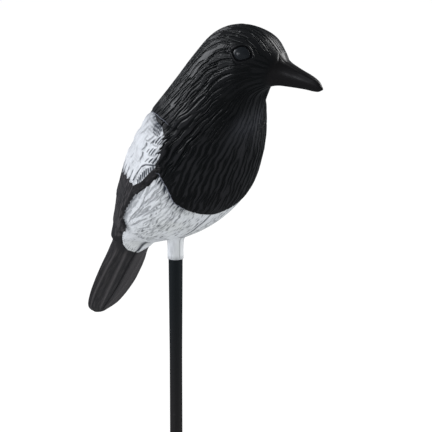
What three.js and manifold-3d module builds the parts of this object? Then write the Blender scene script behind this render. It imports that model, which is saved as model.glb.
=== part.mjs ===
// A plastic magpie decoy on a round stake. Millimetres, +Z up.
// The bird looks along -Y with its head turned a little to its left, so its right side is -X.
// The origin is the centre of the stake's foot, where the stake enters the ground.
import * as THREE from 'three';
import { mergeVertices } from 'three/addons/utils/BufferGeometryUtils.js';
import Module from 'manifold-3d';

// Driving dimensions
const socketHeight = 260;        // socket's lower edge above the ground
const ringLevel = 256.6;         // height that the bird's rings are measured from
const socketRadius = 6.75;
const boreRadius = 6.1;
const boreDepth = 62;            // the bore runs up inside the bird, closed at its top
const stakeTopRadius = 6.0;      // just under the socket
const stakeRadius = 5.35;        // from the end of the taper down to the ground
const taperLength = 88;
const tenonRadius = 5.8;         // the part of the stake inside the bore
const tenonLength = 58;
const gap = 0.3;                 // between the stake's shoulder and the socket
const headTurn = 24;             // degrees, to the bird's left
const headPivot = 72;            // how far in front of the stake the turning axis stands
const wingThickness = 1.7;
const capeStep = 1.0;            // how far the neck feathers stand over the wing's front edge
const undertailStep = 1.4;
const tailRidge = 0.9;
const eyeLength = 16.6;
const eyeHeight = 12.6;
const eyeDepth = 7;
const eyeBulge = 1.9;            // how far the eyeball stands out of the cheek

// Rings of the bird from beak tip to tail tip, measured from the stake's axis at ringLevel:
// back point (forward, up), belly point (forward, up), half width, roundness (2 is an ellipse).
const rings = [
  [173, 181, 173.5, 178.5, 1.2, 2],
  [170, 185, 168.5, 176.5, 3.2, 1.9],
  [161, 189.5, 157.5, 177, 5.4, 1.8],
  [149.5, 193.5, 144.5, 177, 7.8, 1.8],
  [139, 198, 131.5, 176.5, 10.8, 1.9],
  [132, 205.5, 120.5, 173, 16.6, 2],
  [121, 215.5, 112, 166, 24.2, 2.1],
  [106, 220.5, 108.5, 157, 29.3, 2.1],
  [89, 221, 106.5, 148.5, 31.8, 2.1],
  [73.5, 214.5, 105, 141, 35, 2.1],
  [60.5, 199.5, 103.5, 133.5, 39.8, 2.1],
  [47.5, 181.5, 101.5, 123.5, 44.8, 2.1],
  [31.5, 161.5, 97, 108, 49.4, 2.1],
  [11, 141.5, 88, 89.5, 52.4, 2.1],
  [-10.5, 118.5, 74, 68.5, 53, 2.1],
  [-29.5, 95, 53.5, 49.5, 49.2, 2.1],
  [-46, 73, 29, 33.5, 43.2, 2.1],
  [-60, 51.5, 1, 20.5, 35.6, 2.1],
  [-72, 33, -30.5, 11.5, 27.5, 2.1],
  [-84.5, 15.5, -55, 2, 21.6, 1.9],
  [-94, -2.5, -72, -14, 18.6, 1.8],
  [-103.5, -21, -88, -31.5, 20.7, 1.7],
  [-114.5, -40, -103.5, -48.5, 21, 1.7],
  [-125.5, -57, -118, -63, 19, 1.7],
  [-134.5, -71, -130, -74.5, 15, 1.7],
  [-140, -80.5, -137.5, -82.5, 7.5, 1.8],
];
const lastRing = rings.length - 1;
const columns = 52;              // points around each ring

// Edges of the folded wing as [ring number, degrees down from the middle of the back].
const wingLowerEdge = [
  [11.6, 90], [12.3, 110], [13, 115.5], [13.5, 114.5], [14, 111], [14.5, 105.5], [15, 100],
  [16, 96.5], [16.75, 96], [17.2, 107], [17.8, 111.5], [18.3, 104],
];
const wingUpperEdge = [[11.6, 86], [12.2, 60], [12.8, 42], [14, 28], [16, 17], [17.4, 11], [18.3, 9]];
// Rear ends of the neck feathers and of the undertail bulge as [degrees down from the back, ring number].
const capeEnd = [[30, 12.6], [58, 12.24], [73, 11.9], [89, 11.66], [98, 11.57], [105, 11.32], [114, 10.85]];
const undertailEnd = [[105, 17.6], [117, 18.6], [130, 19.2], [146, 19.5], [180, 19.7]];
// Two raised quills on each side of the tail as [ring number, degrees down from the back].
const outerQuill = [[19.4, 117], [21.2, 121], [24.6, 124]];
const innerQuill = [[19.8, 147], [22, 156], [24.6, 166]];

// Value of a chain of [x, y] points at x
const along = (points, x) => {
  const last = points.length - 1;
  if (x <= points[0][0]) return points[0][1];
  if (x >= points[last][0]) return points[last][1];
  const i = points.findIndex((p) => p[0] > x) - 1;
  return THREE.MathUtils.mapLinear(x, points[i][0], points[i + 1][0], points[i][1], points[i + 1][1]);
};
const rise = (x, from, to) => THREE.MathUtils.smoothstep(x, from, to);
const fall = (x, from, to) => 1 - THREE.MathUtils.smoothstep(x, from, to);
const bump = (x, middle, reach) => Math.exp(-(((x - middle) / reach) ** 2));

// The back line carries the roundness and the belly line the half width in their y.
const curveThrough = (points) => new THREE.CatmullRomCurve3(points, false, 'catmullrom', 0.5);
const backLine = curveThrough(rings.map((r) => new THREE.Vector3(r[0], r[5], r[1])));
const bellyLine = curveThrough(rings.map((r) => new THREE.Vector3(r[2], r[4], r[3])));

// Point of the smooth skin at a ring number and an angle around it. The angle is 0 on the back,
// positive down the bird's right side and 180 degrees on the belly.
function smoothSkin(ring, angle) {
  const back = backLine.getPoint(ring / lastRing);
  const belly = bellyLine.getPoint(ring / lastRing);
  const lift = 0.1 * rise(ring, 10, 12.5) * fall(ring, 17.5, 19);
  const c = Math.cos(angle);
  const s = Math.sin(angle);
  const reach = Math.abs(c) ** (2 / back.y);
  const level = c >= 0 ? lift + (1 - lift) * reach : lift - (1 + lift) * reach;
  const side = belly.y * Math.sign(s) * Math.abs(s) ** (2 / back.y);
  const share = (level + 1) / 2;
  const forward = belly.x + (back.x - belly.x) * share;
  const up = belly.z + (back.z - belly.z) * share;
  const turn = THREE.MathUtils.degToRad(headTurn) * fall(ring, 8, 14);
  const ahead = forward - headPivot;
  const turnedForward = headPivot + ahead * Math.cos(turn) + side * Math.sin(turn);
  const turnedSide = side * Math.cos(turn) - ahead * Math.sin(turn);
  return new THREE.Vector3(-turnedSide, -turnedForward, ringLevel + up);
}

// Height of the wings, the neck feathers, the undertail bulge and the tail quills over the smooth skin.
function relief(ring, angle) {
  const degrees = Math.abs(THREE.MathUtils.radToDeg(angle));
  const halfWidth = bellyLine.getPoint(ring / lastRing).y;
  const arc = (from, to) => THREE.MathUtils.degToRad(to - from) * halfWidth;
  const fromLowerEdge = arc(degrees, along(wingLowerEdge, ring));
  const fromUpperEdge = arc(along(wingUpperEdge, ring), degrees);
  const insideWing = Math.min(fromLowerEdge, fromUpperEdge);
  const wing = wingThickness * rise(insideWing, -0.5, 4) * rise(ring, 11.7, 12.5) * fall(ring, 17.7, 18.4);
  const capeRear = along(capeEnd, degrees);
  const overCape = rise(ring, capeRear - 1.6, capeRear - 0.3) * fall(ring, capeRear - 0.05, capeRear + 0.15);
  const cape = capeStep * overCape * rise(degrees, 30, 55) * fall(degrees, 104, 116);
  const end = along(undertailEnd, degrees);
  const bulge = rise(degrees, 105, 125) * rise(ring, 17, 18.6) * fall(ring, end - 0.25, end + 0.15);
  const onTail = rise(ring, 19.8, 20.6) * fall(ring, 23.6, 24.8);
  const quills = bump(degrees, along(outerQuill, ring), 9) + bump(degrees, along(innerQuill, ring), 9);
  return wing + cape + undertailStep * bulge + tailRidge * onTail * quills;
}

function skin(ring, angle) {
  const here = smoothSkin(ring, angle);
  const step = 0.02;
  const before = smoothSkin(Math.max(ring - step, 0), angle);
  const ahead = before.sub(smoothSkin(Math.min(ring + step, lastRing), angle));
  const round = smoothSkin(ring, angle + step).sub(smoothSkin(ring, angle - step));
  const outward = round.cross(ahead).normalize();
  return { here: here.addScaledVector(outward, relief(ring, angle)), outward, ahead: ahead.normalize() };
}

// Ring numbers of the rows: close together on the head, wider along the body
const rows = [];
const addRows = (from, to, count) => {
  for (let i = 0; i < count; i++) rows.push(from + ((to - from) * i) / count);
};
addRows(0, 5, 10);
addRows(5, 9, 12);
addRows(9, 11.2, 5);
addRows(11.2, 12.8, 7);
addRows(12.8, 19, 16);
addRows(19, 25, 15);
rows.push(lastRing);

function loftedSkin() {
  const positions = [];
  const faces = [];
  const pointAt = (i) => new THREE.Vector3().fromArray(positions, 3 * i);
  const middle = (row) => {
    const sum = new THREE.Vector3();
    for (let j = 0; j < columns; j++) sum.add(pointAt(row * columns + j));
    return sum.divideScalar(columns);
  };
  for (const ring of rows) {
    for (let j = 0; j < columns; j++) {
      let angle = (2 * Math.PI * j) / columns;
      if (angle > Math.PI) angle -= 2 * Math.PI;
      positions.push(...skin(ring, angle).here.toArray());
    }
  }
  const tip = rows.length * columns;
  positions.push(...middle(0).toArray(), ...middle(rows.length - 1).toArray());
  for (let j = 0; j < columns; j++) {
    const k = (j + 1) % columns;
    for (let i = 0; i + 1 < rows.length; i++) {
      const a = i * columns + j;
      const b = i * columns + k;
      faces.push(a, a + columns, b, b, a + columns, b + columns);
    }
    const end = (rows.length - 1) * columns;
    faces.push(tip, j, k, tip + 1, end + k, end + j);
  }
  const geometry = new THREE.BufferGeometry();
  geometry.setAttribute('position', new THREE.Float32BufferAttribute(positions, 3));
  geometry.setIndex(faces);
  return geometry;
}

// An eyeball is a flattened ellipsoid sunk into the cheek.
function eyeball(side) {
  const { here, outward, ahead } = skin(6.66, side * THREE.MathUtils.degToRad(58));
  const up = new THREE.Vector3().crossVectors(outward, ahead).normalize();
  const place = new THREE.Matrix4().makeBasis(ahead, up, outward);
  place.setPosition(here.addScaledVector(outward, eyeBulge - eyeDepth / 2));
  return new THREE.SphereGeometry(0.5, 24, 14).scale(eyeLength, eyeHeight, eyeDepth).applyMatrix4(place);
}

// The socket is a short tube under the belly that flares into it.
function socket() {
  const profile = [
    [0, 0], [socketRadius - 0.4, 0], [socketRadius, 0.5], [socketRadius + 0.15, 13], [7.4, 16], [8.6, 19],
    [10.5, 22], [10.5, 30], [0, 30],
  ];
  return lathe(profile.map(([r, z]) => [r, z + socketHeight]), 40);
}

// Turns a profile of [radius, height] points about the vertical axis.
function lathe(profile, segments) {
  const points = profile.map(([r, z]) => new THREE.Vector2(r, z));
  return new THREE.LatheGeometry(points, segments).rotateX(Math.PI / 2);
}

const wasm = await Module();
wasm.setup();

function toSolid(geometry) {
  const bare = geometry.clone();
  bare.deleteAttribute('normal');
  bare.deleteAttribute('uv');
  const merged = mergeVertices(bare, 1e-4);
  return new wasm.Manifold(new wasm.Mesh({
    numProp: 3,
    vertProperties: merged.attributes.position.array,
    triVerts: new Uint32Array(merged.index.array),
  }));
}

function toGeometry(solid) {
  const mesh = solid.getMesh();
  const geometry = new THREE.BufferGeometry();
  geometry.setAttribute('position', new THREE.BufferAttribute(new Float32Array(mesh.vertProperties), 3));
  geometry.setIndex(new THREE.BufferAttribute(new Uint32Array(mesh.triVerts), 1));
  return geometry;
}

const boreTop = socketHeight + boreDepth;
const boreStart = socketHeight - 5;
const boreProfile = [[0, boreStart], [boreRadius, boreStart], [boreRadius, boreTop], [0, boreTop]];
const birdSolid = toSolid(loftedSkin())
  .add(toSolid(eyeball(1)))
  .add(toSolid(eyeball(-1)))
  .add(toSolid(socket()))
  .subtract(toSolid(lathe(boreProfile, 40)));
const bird = new THREE.Mesh(
  toGeometry(birdSolid),
  new THREE.MeshStandardMaterial({ color: 0x1b1d20, roughness: 0.45, metalness: 0 }),
);
bird.name = 'magpie_body';

const shoulder = socketHeight - gap;
const tenonTop = shoulder + tenonLength;
const stake = new THREE.Mesh(
  lathe([
    [0, 0], [stakeRadius, 0], [stakeRadius, shoulder - taperLength], [stakeTopRadius, shoulder],
    [tenonRadius, shoulder], [tenonRadius, tenonTop - 1.5], [tenonRadius - 1.5, tenonTop], [0, tenonTop],
  ], 40),
  new THREE.MeshStandardMaterial({ color: 0x17191b, roughness: 0.4, metalness: 0 }),
);
stake.name = 'stake';

const decoy = new THREE.Group();
decoy.add(bird, stake);
export default decoy;
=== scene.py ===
import math

import bpy
import numpy as np
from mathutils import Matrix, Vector


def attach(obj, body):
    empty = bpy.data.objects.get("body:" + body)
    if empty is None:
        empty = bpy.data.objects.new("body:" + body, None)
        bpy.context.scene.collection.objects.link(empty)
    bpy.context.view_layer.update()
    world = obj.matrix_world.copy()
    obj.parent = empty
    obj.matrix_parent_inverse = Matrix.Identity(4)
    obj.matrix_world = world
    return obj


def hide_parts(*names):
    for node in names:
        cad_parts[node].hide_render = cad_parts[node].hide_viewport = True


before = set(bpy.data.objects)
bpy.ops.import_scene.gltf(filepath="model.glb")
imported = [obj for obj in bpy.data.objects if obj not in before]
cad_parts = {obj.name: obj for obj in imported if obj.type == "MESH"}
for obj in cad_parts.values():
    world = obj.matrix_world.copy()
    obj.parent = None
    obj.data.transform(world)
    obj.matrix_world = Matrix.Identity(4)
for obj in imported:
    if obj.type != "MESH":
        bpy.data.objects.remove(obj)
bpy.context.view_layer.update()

MM = 0.001
SIDES = (1, -1)            # the bird's right and left
rng = np.random.default_rng(7)
uniform, normal = rng.uniform, rng.normal

# Driving sizes, millimetres
SOCKET_HEIGHT = 260.0      # socket's lower edge above the ground
RING_LEVEL = 256.6         # height that the rings are measured from
SOCKET_RADIUS = 6.75
BORE_RADIUS = 6.1
HEAD_TURN = math.radians(24)
HEAD_PIVOT = 72.0
WING_THICKNESS = 1.7
CAPE_STEP = 1.0
UNDERTAIL_STEP = 1.4
TAIL_RIDGE = 0.9
EYE_LENGTH = 14.8
EYE_HEIGHT = 11.2
EYE_BULGE = 1.9
EYE_TILT = math.radians(7)     # the front corner is lower
EYE_RING = 6.55            # where the eye sits: ring number and degrees down from the crown
EYE_DEGREES = 60.6

# About how many millimetres one ring and one degree are, at four places of the skin
BEAK_RING_MM = 11
EYE_RING_MM, EYE_DEGREE_MM = 15.3, 0.48
WING_RING_MM, WING_DEGREE_MM = 22, 0.82
BREAST_RING_MM, BREAST_DEGREE_MM = 23, 0.8

# Rings from beak tip to tail tip, measured from the stake's axis at RING_LEVEL:
# back point (forward, up), belly point (forward, up), half width, roundness.
RINGS = np.array([
    [173, 181, 173.5, 178.5, 1.2, 2],
    [170, 185, 168.5, 176.5, 3.2, 1.9],
    [161, 189.5, 157.5, 177, 5.4, 1.8],
    [149.5, 193.5, 144.5, 177, 7.8, 1.8],
    [139, 198, 131.5, 176.5, 10.8, 1.9],
    [132, 205.5, 120.5, 173, 16.6, 2],
    [121, 215.5, 112, 166, 24.2, 2.1],
    [106, 220.5, 108.5, 157, 29.3, 2.1],
    [89, 221, 106.5, 148.5, 31.8, 2.1],
    [73.5, 214.5, 105, 141, 35, 2.1],
    [60.5, 199.5, 103.5, 133.5, 39.8, 2.1],
    [47.5, 181.5, 101.5, 123.5, 44.8, 2.1],
    [31.5, 161.5, 97, 108, 49.4, 2.1],
    [11, 141.5, 88, 89.5, 52.4, 2.1],
    [-10.5, 118.5, 74, 68.5, 53, 2.1],
    [-29.5, 95, 53.5, 49.5, 49.2, 2.1],
    [-46, 73, 29, 33.5, 43.2, 2.1],
    [-60, 51.5, 1, 20.5, 35.6, 2.1],
    [-72, 33, -30.5, 11.5, 27.5, 2.1],
    [-84.5, 15.5, -55, 2, 21.6, 1.9],
    [-94, -2.5, -72, -14, 18.6, 1.8],
    [-103.5, -21, -88, -31.5, 20.7, 1.7],
    [-114.5, -40, -103.5, -48.5, 21, 1.7],
    [-125.5, -57, -118, -63, 19, 1.7],
    [-134.5, -71, -130, -74.5, 15, 1.7],
    [-140, -80.5, -137.5, -82.5, 7.5, 1.8],
])
LAST_RING = len(RINGS) - 1

# Chains of points on the skin, where degrees run from the middle of the back (0) down the bird's right side
# to the middle of the belly (180). These go from ring number to degrees:
WING_LOWER = [(11.6, 90), (12.3, 110), (13, 115.5), (13.5, 114.5), (14, 111), (14.5, 105.5), (15, 100),
              (16, 96.5), (16.75, 96), (17.2, 107), (17.8, 111.5), (18.3, 104)]
WING_UPPER = [(11.6, 86), (12.2, 60), (12.8, 42), (14, 28), (16, 17), (17.4, 11), (18.3, 9)]
OUTER_QUILL = [(19.4, 115), (21.1, 119), (23, 118.5), (24.6, 119)]
INNER_QUILL = [(19.8, 146), (22, 154), (24.6, 165.5)]
PATCH_LOWER = [(11.6, 84), (11.88, 90), (11.98, 95), (12.2, 97.2), (12.45, 100), (12.52, 103.6),
               (12.8, 104.2), (12.86, 106.2), (13.12, 106.8), (13.17, 110), (13.44, 108), (13.8, 105.6),
               (14.1, 103.6), (14.3, 101), (14.5, 98), (14.9, 95)]
BEAK_RIDGE = [(1.9, 36), (2.6, 26), (3.4, 19), (4.2, 16)]
SLASH = [(18.0, 160), (18.5, 166.5), (19.0, 172.5), (19.4, 174)]
# so do the mould's seams, which also run past the middle of the belly:
BELLY_SEAM = [(14.4, 178.6), (14.9, 177.8), (15.4, 176.8), (16.0, 177.6), (16.6, 178)]
TAIL_SEAM = [(19.3, 170), (21.05, 175.4), (23.7, 184), (24.6, 186)]
# and these go from degrees to ring number:
CAPE_END = [(30, 12.6), (58, 12.24), (73, 11.9), (89, 11.66), (98, 11.57), (105, 11.32), (114, 10.85)]
UNDERTAIL_END = [(105, 17.6), (117, 18.6), (130, 19.2), (146, 19.5), (180, 19.7)]
BELLY_FEATHERS_END = [(105, 16.2), (115.6, 16.33), (128.6, 16.86), (135, 17.12), (153, 17.78), (180, 18.0)]
BIB_EDGE = [(105, 13.25), (115, 13.4), (122, 13.55), (128, 13.71), (133, 13.9), (138.5, 14.14), (142, 14.21),
            (152.5, 14.34), (164, 14.46), (180, 14.58)]
BEAK_EDGE = [(0, 4.8), (12, 4.8), (33, 4.45), (60, 4.35), (90, 4.7), (110, 4.85), (140, 4.8), (180, 4.8)]
PATCH_FRONT = [(30, 12.95), (45, 12.62), (56, 12.33), (64, 12.1), (70, 12.03), (78, 12.02), (86, 11.94),
               (90, 11.9), (95, 12.0), (104, 12.4)]
PATCH_TIPS = [(34, 14.85), (66, 14.95), (75, 14.72), (84, 14.62), (91, 14.54), (98, 14.46), (110, 14.3)]

# Small helpers
def chain(points, x):
    """Value of a chain of (x, y) points at x."""
    xs, ys = zip(*points)
    return np.interp(x, xs, ys)


def rise(x, start, end):
    """0 below start, 1 above end, smooth between."""
    t = np.clip((x - start) / (end - start), 0, 1)
    return t * t * (3 - 2 * t)


def fall(x, start, end):
    """1 below start, 0 above end, smooth between."""
    return 1 - rise(x, start, end)


def between(x, a, b, c, d):
    """Rises from a to b and falls again from c to d."""
    return rise(x, a, b) * fall(x, c, d)


def bump(x, middle, reach):
    """1 at the middle and nearly 0 two reaches away."""
    return np.exp(-(((x - middle) / reach) ** 2))


def ring_values(ring):
    """Smooth curve through the rings at each ring number."""
    ring = np.clip(ring, 0, LAST_RING)
    low = np.minimum(ring.astype(int), LAST_RING - 1)
    w = (ring - low)[..., None]
    here, after = RINGS[low], RINGS[low + 1]
    before = np.where(low[..., None] > 0, RINGS[np.maximum(low - 1, 0)], 2 * RINGS[0] - RINGS[1])
    past_tip = 2 * RINGS[-1] - RINGS[-2]
    beyond = np.where(low[..., None] < LAST_RING - 1, RINGS[np.minimum(low + 2, LAST_RING)], past_tip)
    start, end = 0.5 * (after - before), 0.5 * (beyond - here)
    return ((2 * w**3 - 3 * w**2 + 1) * here + (w**3 - 2 * w**2 + w) * start
            + (3 * w**2 - 2 * w**3) * after + (w**3 - w**2) * end)


def smooth_skin(ring, angle):
    """Points of the smooth skin in millimetres; the angle grows from the back (0) down the right side."""
    back_f, back_z, belly_f, belly_z, half_width, roundness = np.moveaxis(ring_values(ring), -1, 0)
    lift = 0.1 * between(ring, 10, 12.5, 17.5, 19)
    c, s = np.cos(angle), np.sin(angle)
    reach = np.abs(c) ** (2 / roundness)
    level = np.where(c >= 0, lift + (1 - lift) * reach, lift - (1 + lift) * reach)
    half_width = half_width * (1 - 0.4 * rise(ring, 24.5, 25.4))      # the tip of the tail is round
    side = half_width * np.sign(s) * np.abs(s) ** (2 / roundness)
    share = (level + 1) / 2
    forward = belly_f + (back_f - belly_f) * share
    up = belly_z + (back_z - belly_z) * share
    turn = HEAD_TURN * fall(ring, 8, 14)
    ahead = forward - HEAD_PIVOT
    turned_forward = HEAD_PIVOT + ahead * np.cos(turn) + side * np.sin(turn)
    turned_side = side * np.cos(turn) - ahead * np.sin(turn)
    return np.stack([-turned_side, -turned_forward, RING_LEVEL + up], -1)


# Relief map over (ring, angle)
MAP_ROWS = LAST_RING * 64 + 1
MAP_COLUMNS = 1440
map_ring = np.linspace(0, LAST_RING, MAP_ROWS)
map_angle = (np.arange(MAP_COLUMNS) + 0.5) / MAP_COLUMNS * 2 * np.pi - np.pi
ROW_STEP = map_ring[1] - map_ring[0]
COLUMN_STEP = map_angle[1] - map_angle[0]
RING, ANGLE = np.meshgrid(map_ring, map_angle, indexing="ij")      # ring number and angle of each point
DOWN = np.degrees(np.abs(ANGLE))                                   # degrees down from the back
base = smooth_skin(RING, ANGLE)
along_mm = np.linalg.norm(np.gradient(base, ROW_STEP, axis=0), axis=-1)          # millimetres per ring
around_mm = np.linalg.norm(np.gradient(base, COLUMN_STEP, axis=1), axis=-1)      # millimetres per radian
half_width = ring_values(RING)[..., 4]
centre_line = 0.5 * (ring_values(map_ring)[:, :2] + ring_values(map_ring)[:, 2:4])
length_mm = np.concatenate([[0], np.cumsum(np.linalg.norm(np.diff(centre_line, axis=0), axis=1))])
ALONG = np.interp(RING, map_ring, length_mm)                       # millimetres from the beak tip
ROUND = DOWN * BREAST_DEGREE_MM                                    # about millimetres down from the back


def in_mm(field):
    """Turns a field that is zero on an edge into millimetres from that edge."""
    g0 = np.gradient(field, ROW_STEP, axis=0) / np.maximum(along_mm, 0.5)
    g1 = np.gradient(field, COLUMN_STEP, axis=1) / np.maximum(around_mm, 0.5)
    return np.clip(field / np.maximum(np.hypot(g0, g1), 1e-3), -40, 40)


# Neighbouring strands wave together: a sideways shift in millimetres
warp = (0.3 * np.sin(2 * np.pi * (ALONG / 17 + 0.3 * np.sin(ROUND / 9)))
        + 0.32 * np.sin(2 * np.pi * (ALONG / 27 + ROUND / 31 + 0.2))
        + 0.1 * np.sin(2 * np.pi * (ALONG / 10.5 - ROUND / 19)))
warp = warp * (0.1 + 0.9 * rise(RING, 6.5, 9)) * (1 - 0.7 * rise(RING, 14.2, 15))


def cell(ring, degrees, side):
    """Row and column of the map at a point of the skin."""
    i = int(round(min(max(ring, 0), LAST_RING) / ROW_STEP))
    j = int(round((side * math.radians(degrees) + np.pi) / COLUMN_STEP - 0.5)) % MAP_COLUMNS
    return i, j


def stroke(target, ring, degrees, side, length, width, amount,
           lean=0.0, bend=0.0, start=0.2, tip=0.35, wave=1.0):
    """Draws a strand that runs towards the tail into a map: smooth across, tapering at both ends.

    Length, width and bend are millimetres, and lean is radians down from the tail's direction. Start is the
    share of the length that it takes to widen, tip its width at the end, wave how much it follows the warp.
    """
    i, j = cell(ring, degrees, side)
    per_ring, per_radian = max(along_mm[i, j], 0.5), max(around_mm[i, j], 0.5)
    di = int(math.ceil(0.55 * length / per_ring / ROW_STEP)) + 1
    aside = 0.5 * length * abs(math.sin(lean)) + abs(bend) + width + 1.5
    dj = int(math.ceil(aside / per_radian / COLUMN_STEP))
    dj = min(dj, MAP_COLUMNS // 2 - 1)
    rows = np.arange(max(i - di, 0), min(i + di + 1, MAP_ROWS))
    columns = np.arange(j - dj, j + dj + 1)
    block = np.ix_(rows, columns % MAP_COLUMNS)
    x = ((rows - i) * ROW_STEP * per_ring)[:, None]
    y = ((columns - j) * COLUMN_STEP * per_radian * side)[None, :] + wave * (warp[block] - warp[i, j])
    u = x * math.cos(lean) + y * math.sin(lean)
    v = y * math.cos(lean) - x * math.sin(lean)
    s = np.clip(u / length + 0.5, 0, 1)
    v = v - bend * np.sin(np.pi * s)
    half = 0.5 * width * rise(s, -0.05, start) * (1 - (1 - tip) * rise(s, 0.45, 1.0))
    across = np.clip(np.abs(v) / np.maximum(half, 0.05), 0, 1)
    value = amount * (1 - across**2) ** 1.5 * rise(s, 0, start) * fall(s, 0.8, 1.0)
    target[block] = np.maximum(target[block], value)


def line(target, start, end, side, width, amount, bend=0.0, taper=0.2, tip=0.45):
    """Draws a strand from one place to another, each a ring number and degrees."""
    middle = 0.5 * (start[0] + end[0]), 0.5 * (start[1] + end[1])
    i, j = cell(*middle, side)
    x = (end[0] - start[0]) * along_mm[i, j]
    y = math.radians(end[1] - start[1]) * around_mm[i, j]
    stroke(target, *middle, side, math.hypot(x, y), width, amount, math.atan2(y, x), bend, taper, tip, 0)


def path(target, places, side, width, amount):
    """Draws a strand through several places, with overlapping pieces so that it stays even."""
    for (r0, d0), (r1, d1) in zip(places[:-1], places[1:]):
        ends = (1.25 * r0 - 0.25 * r1, 1.25 * d0 - 0.25 * d1), (1.25 * r1 - 0.25 * r0, 1.25 * d1 - 0.25 * d0)
        line(target, *ends, side, width, amount, 0.0, 0.25, 0.9)


def ticks(target, side, count, rings, degrees, lengths, widths, amounts, lean, **ends):
    """Strokes at random places of a stretch of rings and degrees; lean is its mean and its spread."""
    for _ in range(count):
        r, d = uniform(*rings), uniform(*degrees)
        stroke(target, r, d, side, uniform(*lengths), uniform(*widths), uniform(*amounts),
               normal(*lean), **ends)


# Large forms, the same as in the solid
lower_edge = chain(WING_LOWER, RING)
from_lower = np.radians(lower_edge - DOWN) * half_width
from_upper = np.radians(DOWN - chain(WING_UPPER, RING)) * half_width
inside_wing = np.minimum(from_lower, from_upper)
wing = rise(inside_wing, -0.5, 2.4) * between(RING, 11.7, 12.4, 17.7, 18.3)
cape_rear = chain(CAPE_END, DOWN)
cape = rise(RING, cape_rear - 1.6, cape_rear - 0.3) * fall(RING, cape_rear - 0.03, cape_rear + 0.05)
cape *= between(DOWN, 30, 55, 104, 116)
undertail_end = chain(UNDERTAIL_END, DOWN)
undertail = rise(DOWN, 105, 125) * rise(RING, 17, 18.6)
undertail *= fall(RING, undertail_end - 0.18, undertail_end + 0.08)
outer_quill, inner_quill = chain(OUTER_QUILL, RING), chain(INNER_QUILL, RING)
quills = between(RING, 19.8, 20.6, 23.6, 24.8) * (bump(DOWN, outer_quill, 5) + bump(DOWN, inner_quill, 5))
higher_up = rise(from_lower, 3, 20)
wing_rise = WING_THICKNESS * wing * (1 - 0.65 * higher_up) - 0.35 * wing * higher_up
forms = wing_rise + CAPE_STEP * cape + UNDERTAIL_STEP * undertail + TAIL_RIDGE * quills

# Eye: a ball between two lids
eye_i, eye_j = cell(EYE_RING, EYE_DEGREES, 1)
eye_back = (RING - EYE_RING) * along_mm[eye_i, eye_j]
eye_down = np.radians(DOWN - EYE_DEGREES) * around_mm[eye_i, eye_j]
eye_x = eye_back * math.cos(EYE_TILT) - eye_down * math.sin(EYE_TILT)      # towards the nape
eye_y = eye_back * math.sin(EYE_TILT) + eye_down * math.cos(EYE_TILT)      # down the cheek
corner = np.where(eye_x > 0, 1.1, 0.7) * (np.clip(np.abs(eye_x) / (EYE_LENGTH / 2), 0, 1.3)) ** 2
almond = np.hypot(eye_x / (EYE_LENGTH / 2), eye_y / (EYE_HEIGHT / 2 * (1 - 0.4 * corner)))
ball = EYE_BULGE * np.sqrt(np.clip(1 - (almond * 0.985) ** 2, 0, 1))
upper = rise(-eye_y, -2, 2)
lower_rear = rise(eye_y, -1.5, 1.5) * rise(eye_x, -7, -3)
lids = (0.4 + 0.4 * upper) * bump(almond, 1.36, 0.17) - 0.85 * bump(almond, 1.07, 0.1)
lids -= 0.5 * bump(almond, 1.62, 0.08) * lower_rear
crease_y = eye_y - 0.9 - 0.1 * (eye_x - 8)
crease = bump(crease_y, 0, 0.55) * between(eye_x, 7.0, 8.4, 13, 16)
eyelids = np.where(almond < 1, ball, 0) + fall(almond, 1.9, 2.4) * lids - 0.8 * crease
barbs_behind = (np.sin(2 * np.pi * (eye_x - 0.5 * eye_y) / 1.9) * between(eye_x, 9, 10.5, 15, 18)
                * between(-eye_y, -1.0, 0.0, 2.4, 3.8))


# Grooves between the strands of head, neck, breast and flank
def on_skin(ring, degrees):
    """Strands start at the edge of the bare beak, keep off the eye and stop at the wing."""
    x, y = (ring - EYE_RING) * EYE_RING_MM, (degrees - EYE_DEGREES) * EYE_DEGREE_MM
    if math.hypot(x / 13.0, (y + 1.0) / 8.6) < 1:
        return False
    beside_patch = ring < 13.6 and degrees > chain(PATCH_LOWER, ring) + 3
    if 11.9 < ring < 18 and chain(WING_UPPER, ring) < degrees < chain(WING_LOWER, ring) and not beside_patch:
        return False
    return ring > chain(BEAK_EDGE, degrees) + 0.35


def forehead_lean(ring, degrees):
    """Forehead strands draw together towards the beak."""
    return -min(0.02 * degrees, 0.4) * math.exp(-(((ring - 6.3) / 0.9) ** 2))


def sweep(ring, degrees):
    """Strands part round the eye: up over it in front, down behind it."""
    if degrees >= 110:
        return 0.0
    return math.copysign(0.2 * math.exp(-(((ring - 5.4) / 0.8) ** 2)), degrees - EYE_DEGREES)


def flank_lean(ring, degrees):
    """Flank feathers sweep up towards the wing on their way to the tail."""
    return -(0.12 + 0.16 * float(rise(degrees, 111, 121))) * float(fall(degrees, 128, 146))


def strands(target, first, last, top, bottom, pitch, length, width, depth, lean, jitter, spread):
    """Staggered strands over both sides, from ring first to ring last and between two angles."""
    ring, row = first, 0
    while ring < last:
        degrees = top + 0.5
        while degrees < bottom:
            i, j = cell(ring, degrees, 1)
            spacing = math.degrees(3 * pitch / max(around_mm[i, j], 3.0))
            for side in SIDES:
                d = degrees + ((row % 3) / 3 + jitter * uniform(-0.5, 0.5)) * spacing
                r = ring + uniform(-0.5, 0.5) * 0.33 * length / along_mm[i, j]
                if d < bottom and on_skin(r, d):
                    tilt = lean(r, d) if callable(lean) else lean
                    stroke(target, r, d, side, length * uniform(0.7, 1.35), width * uniform(0.85, 1.25),
                           depth * uniform(0.7, 1.1), tilt + normal(0, spread), uniform(-0.5, 0.5))
            degrees += spacing
        i, j = cell(ring, 0.5 * (top + bottom), 1)
        ring += 0.33 * length / along_mm[i, j]
        row += 1


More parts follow.
